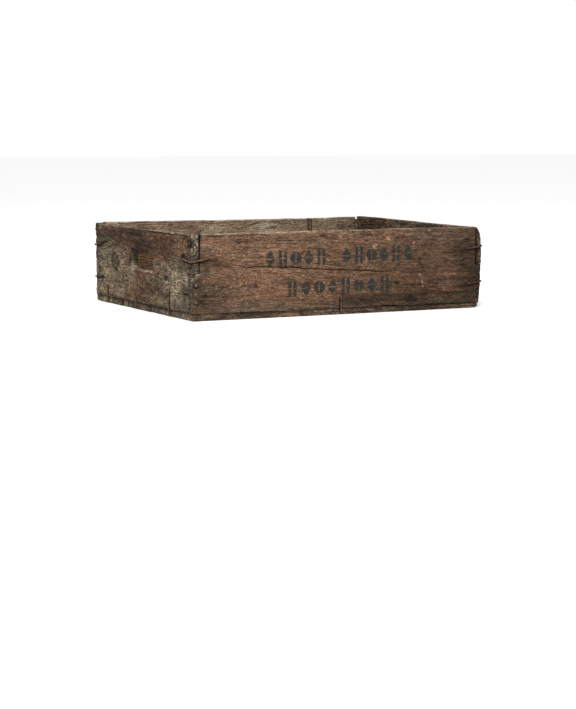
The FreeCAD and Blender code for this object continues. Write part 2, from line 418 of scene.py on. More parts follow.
def store(mesh, name, values):
    """Keeps a number or a vector per vertex for the material."""
    kind = "FLOAT" if values.ndim == 1 else "FLOAT_VECTOR"
    key = "value" if values.ndim == 1 else "vector"
    attribute = mesh.attributes.new(name, kind, "POINT")
    attribute.data.foreach_set(key, values.astype(np.float32).ravel())


def dense_board(board):
    """Board mesh with cells drawn out along the grain."""
    mesh = slab(board)
    squeeze = Matrix.Diagonal((*(1 - np.abs(board.axes[0]) * (1 - 1 / GRAIN_STRETCH)), 1))
    mesh.transform(squeeze)
    mesh = remeshed(mesh, VOXEL)
    mesh.transform(squeeze.inverted())
    return mesh


def round_edges(board, local, distance, inward):
    """Wears every edge between a face and the outline to a round of varying radius."""
    wear = (0.3 + 0.7 * board.exposed(local)) * (1 + 0.45 * board.streaks(local, 30, 9, 5))
    for side, worn, limit in ((1, blobs(local, board.worn_edges) * MM, 0.85), (-1, 0, 0.45)):
        radius = np.clip(board.edge_radius * wear + worn, 0.3 * MM, board.thickness * limit)
        depth = np.maximum(board.thickness / 2 - side * local[:, 2], 0)
        to_wall = radius - distance
        to_face = radius - depth
        reach = np.hypot(np.maximum(to_wall, 0), np.maximum(to_face, 0))
        inside = (to_wall > 0) & (to_face > 0) & (reach > radius)
        shrink = np.where(inside, radius / np.maximum(reach, 1e-9), 1)
        local[:, :2] += inward * (np.where(inside, to_wall, 0) * (1 - shrink))[:, None]
        local[:, 2] -= side * np.where(inside, to_face, 0) * (1 - shrink)
    return local


def edge_chips(board):
    """Small random chips along the exposed edges."""
    random = np.random.default_rng(board.seed + 7)
    chips = []
    while len(chips) < EDGE_CHIPS:
        loop = np.array(board.loops[random.integers(len(board.loops))])
        lengths = np.hypot(*(np.roll(loop, -1, axis=0) - loop).T)
        index = random.choice(len(loop), p=lengths / lengths.sum())
        start, end = loop[index], loop[(index + 1) % len(loop)]
        u, v = start + random.random() * (end - start)
        face = random.choice((-1, 1)) * board.thickness / 2
        if random.random() > board.exposed(np.array([[u, v, face]]))[0]:
            continue
        along = abs(end[0] - start[0]) > abs(end[1] - start[1])
        reach_u = random.uniform(3, 13) if along else random.uniform(0.8, 2.0)
        reach_v = random.uniform(0.8, 2.2) if along else random.uniform(1.5, 4.5)
        reach_w = random.uniform(0.7, 1.8)
        chips.append((u / MM, v / MM, face / MM, reach_u, reach_v, reach_w))
    return chips


def carve(local, chips):
    """Pushes the surface out of the chips."""
    for chip in np.array(chips) * MM:
        middle, reach = chip[:3], chip[3:]
        offset = (local - middle) / reach
        size = np.linalg.norm(offset, axis=1)
        inside = size < 1
        scale = np.where(inside, 1 / np.maximum(size, 0.05), 1)
        local = np.where(inside[:, None], (offset * scale[:, None]) * reach + middle, local)
    return local


def ring_field(board, local):
    """Distance from the tree's heart, bent round the knots; way round the heart; knots."""
    u, v, w = local.T
    wander = board.streaks(local, 260, 400, 11)
    heart_v = board.pith[0] + board.pith_slope[0] * u + 7 * MM * wander
    heart_w = board.pith[1] + board.pith_slope[1] * u
    away = np.sign(np.mean(v) - board.pith[0])
    radius = np.hypot(v - heart_v, w - heart_w)
    around = np.arctan2(w - heart_w, v - heart_v) * np.median(radius)
    ring = away * radius
    ring += 2.2 * MM * board.streaks(local, 95, 22, 12) - blobs(local, board.bends) * MM
    knot_mask = np.zeros(len(local))
    wobble = 1 + 0.12 * board.streaks(local, 9, 9, 13)
    for knot_u, knot_v, radius_mm, push, reach_u, reach_v in board.knots:
        from_u, from_v = u - knot_u * MM, v - knot_v * MM
        side = np.tanh(from_v / (radius_mm * 0.8 * MM))
        ring -= side * push * MM * patch(local, knot_u, knot_v, reach_u, reach_v)
        size = np.hypot(from_u / 1.12, from_v) * wobble
        core = 1 - ramp(size, radius_mm * 0.9, radius_mm * 1.1)
        ring = ring * (1 - core) + (size * 0.8 + knot_v * MM) * core
        knot_mask = np.maximum(knot_mask, 1 - ramp(size, radius_mm * 0.8, radius_mm * 1.25))
    return ring, around, knot_mask


def late_wood(ring, pitch):
    """1 on the hard dark line that ends each growth ring, 0 on the soft wood."""
    part = np.mod(ring / pitch, 1.0)
    return smooth_step(part, 0.35, 0.85) * (1 - smooth_step(part, 0.9, 1.0))


def crack_fields(board, local):
    """Signed distance from the nearest crack in crack widths, closeness to it, its depth."""
    signed = np.full(len(local), 9.0)
    near = np.zeros(len(local))
    groove = np.zeros(len(local))
    flat = local[:, :2].copy()
    flat[:, 1] += 0.9 * MM * board.streaks(local, 14, 30, 21)
    for points, width, depth, face in board.cracks:
        on_face = face * local[:, 2] > -board.thickness * 0.2 if face else np.ones(len(local), bool)
        path = np.array(points) * MM
        lengths = np.hypot(*np.diff(path, axis=0).T)
        done = 0.0
        for start, end, length in zip(path[:-1], path[1:], lengths):
            along, offset, distance, left = from_segment(flat, start, end)
            sign = np.where(offset @ left >= 0, 1.0, -1.0)
            share = (done + along) / np.sum(lengths)
            taper = np.clip(4.5 * np.minimum(share, 1 - share) + 0.25, 0, 1)
            closeness = np.where(on_face, fade(distance, 2.2), 0)
            nearer = closeness > near
            signed = np.where(nearer, sign * distance / (width * MM * taper), signed)
            near = np.maximum(near, closeness)
            cut = depth * MM * fade(distance, width * taper * 1.1 + 0.25)
            groove = np.maximum(groove, np.where(on_face, cut * taper, 0))
            done += length
    return np.clip(signed, -9, 9), near, groove


def search_cloud(piece):
    """Box and search tree over the surface of one piece of metal."""
    points = read_points(piece.data)[::CLOUD_STEP]
    tree = kdtree.KDTree(len(points))
    for index, place in enumerate(points):
        tree.insert(place, index)
    tree.balance()
    return points.min(axis=0), points.max(axis=0), tree


def fastener_distance(points, clouds, reach):
    """Distance from each point to the nearest metal, searched only within reach."""
    found = np.full(len(points), reach)
    for low, high, tree in clouds:
        near = np.all((points > low - reach) & (points < high + reach), axis=1)
        for index in np.flatnonzero(near):
            found[index] = min(found[index], tree.find(points[index])[2])
    return found


def scattered_marks(board, side):
    """Random dents, splits and scuffs over one face, mostly thin and along the grain."""
    random = np.random.default_rng(board.seed + 70 + side)
    outline = np.array(board.loops[0]) / MM
    low, high = outline.min(axis=0), outline.max(axis=0)
    count = int((high - low).prod() * MARKS_PER_SQUARE_MM)
    tone = np.where(random.random(count) < 0.66, -0.9, 0.5) * random.uniform(0.2, 1.0, count)
    u = random.uniform(low[0], high[0], count)
    v = random.uniform(low[1], high[1], count)
    length = np.exp(random.normal(1.35, 0.6, count))
    width = np.exp(random.normal(0.0, 0.38, count))
    tilt = random.normal(0, 9, count)
    depth = np.where(tone < 0, random.uniform(0, 0.5, count), -0.08)
    return np.stack([u, v, length, width, tone, depth, tilt], axis=1)


def mark_fields(board, local):
    """Tone and depth of all the marks on both faces."""
    tone = np.zeros(len(local))
    depth = np.zeros(len(local))
    warp = [board.noise(local, 2.6, 75 + axis) for axis in range(2)]
    flat = local[:, :2] / MM + 0.7 * np.stack(warp, axis=1)
    for side, listed in ((1, board.marks), (-1, board.inner_marks)):
        rows = np.flatnonzero(side * local[:, 2] > 0)
        rows = rows[np.argsort(flat[rows, 0])]
        places = flat[rows, 0]
        on_face = smooth_step(side * local[:, 2], 0, board.thickness * 0.3)
        chosen = np.array([(*mark, 0, 0)[:7] for mark in listed], float).reshape(-1, 7)
        chosen[:, 4] *= MARK_CONTRAST
        marks = np.concatenate([scattered_marks(board, side), chosen])
        for u, v, length, width, shade, dip, tilt in marks:
            reach = 1.8 * max(length, width)
            part = rows[np.searchsorted(places, u - reach):np.searchsorted(places, u + reach)]
            turn = math.radians(tilt)
            du, dv = flat[part, 0] - u, flat[part, 1] - v
            along = (du * math.cos(turn) + dv * math.sin(turn)) / length
            across = (dv * math.cos(turn) - du * math.sin(turn)) / width
            strength = np.exp(-(along ** 2 + across ** 2) ** 1.4) * on_face[part]
            tone[part] += shade * strength
            depth[part] += dip * MM * strength
    return tone, depth


def blotches(board, local, grain):
    """Uneven darkness of old wood, from 3 mm specks to 50 mm clouds."""
    tone = 0.10 * board.streaks(grain, 40, 2.6, 66)
    for octave, size in enumerate((48, 24, 12, 6, 3)):
        cells = np.array([1.6, 1.0, 1.0]) * size
        strength = 0.12 + 0.1 * min(size / 24, 1)
        tone += strength * board.noise(local, cells, 60 + octave)
    return board.mottle * tone


def seam_drop(points):
    """The boards' lower seam leans a little from left to right."""
    height = points[:, 2]
    rising = np.clip(height / BOTTOM_THICK, 0, 1)
    fading = 1 - smooth_step(height, BOTTOM_THICK * 1.2, SEAM_REACH)
    points[:, 2] -= SEAM_DROP * points[:, 0] / HALF_LENGTH * rising * fading
    return points


def rise_of_rims(points, node):
    """The warped back board and the rear of the right end board stand a little higher."""
    x, y, z = points.T
    back = BACK_LEFT_RISE * ramp(-x, -50, 200) + BACK_RIGHT_RISE * ramp(x, 150, 280)
    back *= ramp(y, 215, 225)
    right = RIGHT_REAR_RISE * ramp(y, -150, 217) * ramp(x, 270, 279)
    rise = back if node == "back_side_board" else np.maximum(back, right)
    points[:, 2] += rise * ramp(z, 90, 150)
    return points


def lean_at(height):
    """How far the front right corner leans out at each height."""
    return CORNER_LEAN * ramp(height, 2, 48) + CORNER_BULGE * fade(height - BULGE_Z, 20)


def near_front(points):
    """1 at the front board, 0 well behind it."""
    return 1 - ramp(points[:, 1], -225, -185)


def settle(points, node):
    """Warps the straight crate the way the real one has settled."""
    points = rise_of_rims(seam_drop(points), node)
    near = near_front(points) * ramp(points[:, 0], 255, 280)
    points[:, 0] += lean_at(points[:, 2]) * near
    return points


def wear_front_right(points):
    """Wears the front right corner round at the rim and at the floor."""
    height = points[:, 2]
    top = np.clip((height - RIM_LOSS_Z) / (END_RIM_Z - RIM_LOSS_Z), 0, 1)
    low = np.clip(1 - height / FLOOR_LOSS_Z, 0, 1)
    limit = HALF_LENGTH + lean_at(height) - CORNER_RIM_LOSS * top ** 2 - CORNER_FLOOR_LOSS * low ** 2
    points[:, 0] -= np.maximum(points[:, 0] - limit, 0) * near_front(points)
    return points


def worn_and_highlit_rim(board, flat, distance):
    """1 on the rubbed top edges, worn pale and given a painted highlight; weaker round a hand hole."""
    if board.slot == "bottom_wood":
        return np.zeros(len(flat))
    hole = 0.35 * board.by_hole(flat) * np.exp(-distance / (0.9 * MM))
    return np.maximum(hole, ramp(flat[:, 1] - END_RIM_Z, -1.5, -0.3))


def closed_joint(board, flat, distance):
    """1 in the dark line where two boards meet."""
    line = np.exp(-distance / board.joint_width)
    if board.slot == "bottom_wood":
        return line * np.exp(-(board.thickness / 2 + flat[:, 2]) / (2.0 * MM))
    return line * (1 - board.exposed(flat))


def make_board(board, clouds):
    """Builds one weathered board and puts it in place of its plain solid."""
    mesh = dense_board(board)
    plain = read_points(mesh)
    flat = board.to_local(plain)
    distance, inward = outline_distance(flat[:, :2], board.loops)
    ring, around, knot = ring_field(board, flat)
    grain = np.stack([flat[:, 0], ring, around], axis=1)
    signed, near, groove = crack_fields(board, flat)
    mark_tone, mark_depth = mark_fields(board, flat)
    end_grain = 1 - ramp(distance, 0.3, 1.2)
    end_grain *= np.abs(inward[:, 0]) > 0.7

    local = round_edges(board, flat.copy(), distance, inward)
    local = carve(local, [*board.chips, *edge_chips(board)])
    rim = ramp(flat[:, 1], 100, 150) * (board.slot != "bottom_wood")
    local[:, 1] += rim * 0.5 * MM * board.streaks(flat, 60, 300, 8)
    write_points(mesh, board.to_crate(local))
    normals = read_normals(mesh)

    weather = board.weather + blobs(flat, board.weathered)
    weather += 0.28 * board.streaks(grain, 90, 7, 31) + 0.26 * board.noise(flat, 16, 33)
    dirt = blobs(flat, board.dirty) + 0.25 * board.streaks(grain, 70, 30, 41)
    metal = fastener_distance(plain, clouds, 6 * MM)
    # Measured from 1.8 mm higher up, so the dark reaches below the metal: rust run-off and a painted
    # shadow under each wire and nail
    under_metal = fastener_distance(plain + (0, 0, 1.8 * MM), clouds, 7 * MM)
    late = late_wood(ring, board.ring_pitch)
    rough = 0.6 + 0.4 * np.clip(weather, 0, 1)
    fine = 0.26 * rough * (late - 0.5)
    fine += 0.17 * rough * board.streaks(grain, 18, 1.9, 51) + 0.10 * board.noise(flat, 2.4, 54)
    height = fine * MM + 0.35 * MM * board.streaks(flat, 130, 40, 52)
    height += 0.55 * MM * end_grain * board.streaks(flat[:, ::-1], 12, 3.5, 53)
    height -= groove + mark_depth
    height += 0.4 * MM * knot * (late - 0.4)
    height -= 0.6 * MM * fade(metal, 2.0)
    points = board.to_crate(local) + normals * height[:, None]
    write_points(mesh, wear_front_right(settle(points, board.node)))

    # The 0.45 * fine term darkens the hollows of the fine relief: painted shade in the grain
    tone = mark_tone + blotches(board, flat, grain) + blobs(flat, board.shaded) + 0.45 * fine
    tone += end_grain * 0.5 * board.noise(flat, 2.4, 68)
    tone -= board.knot_border * knot * (1 - knot)
    fields = {
        "grain": grain,
        "ring": ring / board.ring_pitch,
        "weather": weather,
        "dirt": dirt,
        "tone": np.exp(np.clip(tone, DARKEST_TONE, LIGHTEST_TONE)),
        # Rust stain and a painted shadow below the metal
        "rust": fade(under_metal, 2.3),
        "knot": knot,
        "end_grain": end_grain * board.pale_ends,
        # Pale wear on the rims, with a painted highlight along them
        "rim": worn_and_highlit_rim(board, flat, distance),
        "joint": closed_joint(board, flat, distance),
        "crack_side": signed,
        "crack_near": near,
        "ink": board.ink(flat) if board.ink else np.full(len(flat), NO_INK),
    }
    for name, values in fields.items():
        store(mesh, name, values)
    return finish_piece(mesh, board.node, "_weathered", board.slot)


def finish_piece(mesh, node, suffix, slot):
    """Links a mesh that stands in for a node, with smooth shading."""
    mesh.shade_smooth()
    piece = new_object(node + suffix, mesh)
    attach(piece, "root")
    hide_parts(node)
    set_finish(piece, slot)
    return piece


# ---------------- stencil

# Two rows of lozenges (l), pairs of bars (b) and discs (d): left end, right end, height, marks
INK_ROWS = [
    (-153 * MM, 151 * MM, 104 * MM, "lbdlb lbdlbl"),
    (-110 * MM, 103 * MM, 50 * MM, "bldlbdlb"),
]
INK_SLOPE = 0.01
HALF_MARK = 14.5 * MM
HALF_BRIDGE = 0.9 * MM
NO_INK = 9.0 * MM


def lozenge(x, z, half_width, half_height):
    """Signed distance from a lozenge."""
    slant = np.abs(x) / half_width + np.abs(z) / half_height - 1
    return slant / math.hypot(1 / half_width, 1 / half_height)


def stencil_mark(kind, x, z):
    """Signed distance from one stencil mark, cut by the bridge that holds a stencil together."""
    if kind == "d":
        return np.maximum(np.hypot(x, z) - HALF_MARK * 0.76, HALF_BRIDGE - np.abs(x))
    if kind == "l":
        shape = lozenge(x, z, HALF_MARK * 0.74, HALF_MARK)
    else:
        from_bars = np.abs(np.abs(x) - 5.0 * MM) - 3.0 * MM
        shape = np.maximum(from_bars, np.abs(z) - HALF_MARK)
    return np.maximum(shape, HALF_BRIDGE - np.abs(z))


def front_ink(local):
    """Signed distance from the ornament stencilled on the front board."""
    nearest = np.full(len(local), NO_INK)
    for left, right, middle, marks in INK_ROWS:
        pitch = (right - left) / len(marks)
        for index, kind in enumerate(marks):
            if kind == " ":
                continue
            x = local[:, 0] - (left + (index + 0.5) * pitch)
            z = local[:, 1] - middle - INK_SLOPE * local[:, 0]
            nearest = np.minimum(nearest, stencil_mark(kind, x, z))
    behind = local[:, 2] < 0
    return np.where(behind, NO_INK, np.clip(nearest, -NO_INK, NO_INK))


# ---------------- the seven boards

UP = (0, 0, 1)
X_AXIS = (1, 0, 0)
Y_AXIS = (0, 1, 0)


def side_board(name, side, loop, seed):
    """Front or back board, standing on its side of the crate."""
    return Board(
        name, "side_wood", [loop], (X_AXIS, UP, (0, side, 0)), HALF_WIDTH - SIDE_THICK / 2,
        SIDE_THICK, seed)


def front_board():
    """The stencilled front, with a knot and a long crack at its left and open joints."""
    loop = side_board_loop(2.5 * MM, 1.6 * MM, 1.2 * MM, -0.9 * MM)
    board = side_board("front_side_board", -1, loop, 100)
    board.pith = (0.300, -0.050)
    board.pith_slope = (-0.04, 0.03)
    board.ring_pitch = 2.9 * MM
    board.knots = [(-279, 63, 7, 15, 80, 28), (-168, 57, 2.4, 2.5, 12, 6)]
    board.cracks = [
        ([(-215, 97), (-195, 91), (-150, 89), (-100, 86.5), (-60, 83), (0, 79), (60, 75.5),
          (112, 70)], 1.3, 2.4, 1),
        ([(-132, 134.8), (-100, 134.6), (-50, 134)], 0.5, 1.0, 1),
        ([(150, 41), (215, 42), (270, 40)], 0.5, 1.0, 1),
    ]
    board.chips = [
        (-290, 81, 6, 8, 7, 3.5), (-290, 47, 5, 3, 7, 3), (-291, 30, 7, 4, 3, 3),
        (270, 150.5, 6, 14, 2.2, 3), (291, 36, 6, 4, 3, 3), (-264, 43, 6.5, 1.8, 1.8, 4),
        (100, 9.5, 6, 20, 2.4, 3),
    ]
    board.marks = [
        # Small knots, holes and gouges
        (-200, 133, 4, 2.2, -1.2, 0.5), (-186, 133, 2.5, 1.8, -1, 0.4), (-193, 136, 8, 1, -0.5, 0, -12),
        (-168, 57, 2.2, 3.2, -1.2, 0.3, 20), (-254, 123, 2, 1.5, -0.8, 0.2),
        (-264, 43, 3, 2.4, -1.6, 0.5), (-254, 41, 14, 1.6, -0.7, 0.2), (-248, 61, 6, 2, -0.8, 0.3, 10),
        (-35, 141, 7, 1.8, -1.1, 0.8), (-12, 141, 6, 1.2, -0.7, 0.4, -15), (115, 53, 9, 1.8, -0.9, 0.4),
        (98, 50, 5, 1.5, -0.6, 0.2, -20), (148, 47, 6, 2.2, -0.6, 0.3), (163, 46, 6, 1.6, -0.5, 0.2),
        (163, 91, 2.2, 6, -0.7, 0.3, 10), (168, 82, 4, 1.4, -0.6, 0.2, -35), (240, 89, 2.2, 1.2, -1, 0.3),
        (248, 91, 3, 1, -1, 0.4, -45), (253, 88.5, 4, 1.4, -1.1, 0.5, 20), (100, 11, 20, 1.4, -1.4, 0.6),
        # The thin dark marks at (275, 109.3) and (276, 44.3) are painted shadows under the front right
        # staples
        (284, 63, 4, 4, -0.8, 0.4), (284, 32, 4, 4, -0.8, 0.4), (275, 109.3, 13, 1.2, -1.6, 0.5, 8),
        (276, 44.3, 12, 1.2, -1.6, 0.5, 7), (222, 11.2, 55, 1.4, -1.5, 0.5),
        # Shadow under the front left staple
        (-275, 100.8, 12, 1.3, -1.4, 0.4, 8),
        # Darker strokes along the grain
        (-190, 146, 50, 0.7, -0.5, 0.2, -1), (-60, 138.5, 60, 0.7, -0.5, 0.2, -1),
        (-130, 130, 60, 0.8, -0.5, 0.2, -1), (-30, 128, 40, 0.7, -0.5, 0.2),
        (-200, 126, 40, 0.7, -0.5, 0.2, -3), (30, 132, 40, 0.7, -0.45, 0.2, -1),
        (-238, 100, 20, 4, -0.45, 0, -14), (-248, 104, 10, 3, -0.4), (-205, 69, 12, 0.9, -0.6, 0.2, 25),
        (-188, 72, 10, 0.8, -0.6, 0.2, 12), (-225, 57, 14, 0.9, -0.6, 0.2, 22),
        (-215, 47, 14, 0.9, -0.5, 0.2, 14), (-240, 50, 12, 0.9, -0.5, 0.2, 25),
        (-222, 92, 8, 2, -0.7, 0.2, -10), (-100, 134.6, 34, 0.8, -0.7, 0.3),
        (-150, 141, 30, 0.7, -0.45, 0.2), (-150, 107, 24, 0.8, -0.35, 0.1, -15),
        (50, 139, 16, 0.9, -0.6, 0.3, 14), (-240, 95, 12, 4, -0.5, 0.1, -8), (-262, 98, 12, 7, -0.35),
        (145, 30, 60, 2.6, -0.35), (140, 22, 16, 7, -0.55), (240, 30, 45, 2, -0.5, 0.2),
        (235, 55, 40, 2, -0.35, 0.1), (255, 107, 20, 5, -0.35, 0.1, 5), (262, 42, 22, 3.5, -0.5, 0.1, 5),
        (-270, 31, 16, 4, -0.5, 0.1, -20), (-60, 13, 60, 1.2, -0.5, 0.2),
        # Pale chips, scratches and drops
        (-283, 47, 4, 1.4, 0.8), (-284, 35, 3, 3, 0.6), (-285, 25, 4, 1.6, 0.7), (-283, 74, 5, 1.8, 0.6),
        (-282, 18, 5, 1.4, 0.6), (-262, 52, 3, 1.5, 0.5, 0, 10), (-273, 48, 3, 1.5, 0.5),
        (-195, 34, 2.5, 1.8, 0.5), (-243, 57, 2, 1.2, 0.4), (-213, 53, 3, 1, 0.4, 0, 25),
        (-190, 108, 16, 5, 0.22, 0, -12), (-150, 84, 40, 2.5, 0.15, 0, -3),
        (-280, 79.5, 7, 1.3, 1.3, 0, 8), (-288, 74, 1.6, 4, 1), (68, 118, 1.8, 5, 0.9, 0, 20),
        (72, 122, 1.4, 3, 0.9), (52, 100, 1.6, 5, 0.7, 0, 15), (97, 132, 6, 1.3, 0.8, 0, -40),
        (62, 143, 6, 1.2, 0.5, 0, 8), (90, 143, 3, 1, 0.5), (150, 124, 2.2, 1.8, 0.9),
        (182, 145, 2.2, 1.8, 1.1), (200, 121, 4, 1.4, 0.6, 0, -15), (206, 116, 3, 1, 0.5),
        (163, 65, 3.4, 1.7, 1), (168, 52, 1.5, 5, 1, 0, -6), (170, 43, 1.4, 2.8, 0.9, 0, -8),
        (73, 15, 8, 1.6, 0.7), (160, 24, 1.3, 5, 0.5, 0, 20), (117, 69, 3, 0.8, 0.6),
        (213, 36, 2.5, 3, 0.5), (235, 64, 26, 1.8, 0.55), (266, 62, 12, 1, 0.4, 0, -3),
    ]
    board.weathered = [
        (250, 90, 100, 90, 0.1), (0, 12, 340, 13, 0.4), (-290, 60, 6, 80, 0.6), (-278, 66, 20, 20, 0.5),
        (-50, 70, 160, 50, -0.25), (-180, 100, 80, 40, -0.15), (220, 63, 50, 6, -0.5),
    ]
    board.shaded = [
        # The large dark patches at (230, 85), (300, 60) and (285, 85) darken the right end: partly the
        # wood's own colour, partly painted shade where the light falls off
        (230, 85, 110, 120, -0.6), (300, 60, 70, 90, -0.45), (140, 20, 200, 16, -0.45),
        (-262, 35, 30, 30, -0.3), (-235, 98, 30, 16, -0.28), (0, 150, 300, 4, 0.2),
        (-280, 70, 30, 45, -0.3), (40, 22, 60, 14, -0.4), (50, 80, 100, 50, -0.15),
        (285, 85, 30, 50, -0.3), (-165, 60, 50, 40, 0.15), (70, 133, 40, 15, 0.25),
        (40, 24, 50, 14, -0.45), (50, 78, 60, 20, -0.2), (120, 50, 30, 15, -0.3),
        (268, 105, 30, 18, -0.3), (268, 50, 30, 15, -0.38), (-170, 132, 30, 15, 0.15),
        (-270, 60, 16, 22, -0.42), (-60, 85, 50, 35, 0.18), (47, 106, 40, 12, -0.2),
        (-290, 45, 3, 45, -0.35),
    ]
    board.weather = 0.28
    board.mottle = 1.0
    board.ink = front_ink
    return board


def back_board():
    """The back, bleached inside under its rim."""
    board = side_board("back_side_board", 1, side_board_loop(JOINT_GAP, JOINT_GAP), 200)
    board.pith = (0.03, -0.05)
    board.pith_slope = (0.04, 0.02)
    board.knots = [(60, 50, 7, 8, 34, 16), (-190, 112, 4, 5, 20, 10)]
    board.cracks = [
        ([(-190, 60), (-120, 62), (-60, 58)], 0.7, 1.6, 1),
        ([(40, 110), (110, 112), (180, 109)], 0.6, 1.4, -1),
        ([(150, 38), (220, 36), (285, 38)], 0.8, 1.8, 1),
    ]
    board.weathered = [
        (0, 145, 400, 30, 0.55), (-200, 120, 120, 50, 0.2), (-190, 72, 50, 25, -0.4),
        (150, 140, 140, 30, 0.35),
    ]
    board.inner_marks = [
        (-190, 136, 80, 24, 0.46), (-70, 136, 75, 24, 0.38), (125, 136, 130, 26, 0.48),
        (230, 136, 50, 20, 0.15), (-190, 74, 60, 22, -0.06), (-262, 140, 45, 14, 0.33),
        (60, 136, 30, 20, 0.24), (-1, 136, 22, 20, -0.1),
    ]
    board.dirty = [(0, 14, 300, 12, 0.4)]
    board.weather = 0.30
    board.mottle = 0.75
    return board


def end_board(name, side, thickness, rear_corner, seed):
    """What the two end boards share."""
    board = Board(
        name, "end_wood", [end_board_loop(rear_corner), hand_hole_loop()],
        (Y_AXIS, UP, (side, 0, 0)), HALF_LENGTH - thickness / 2, thickness, seed)
    board.ring_pitch = 4.2 * MM
    board.weather = 0.55
    board.mottle = 1.7
    board.joint_width = 2.0 * MM
    return board


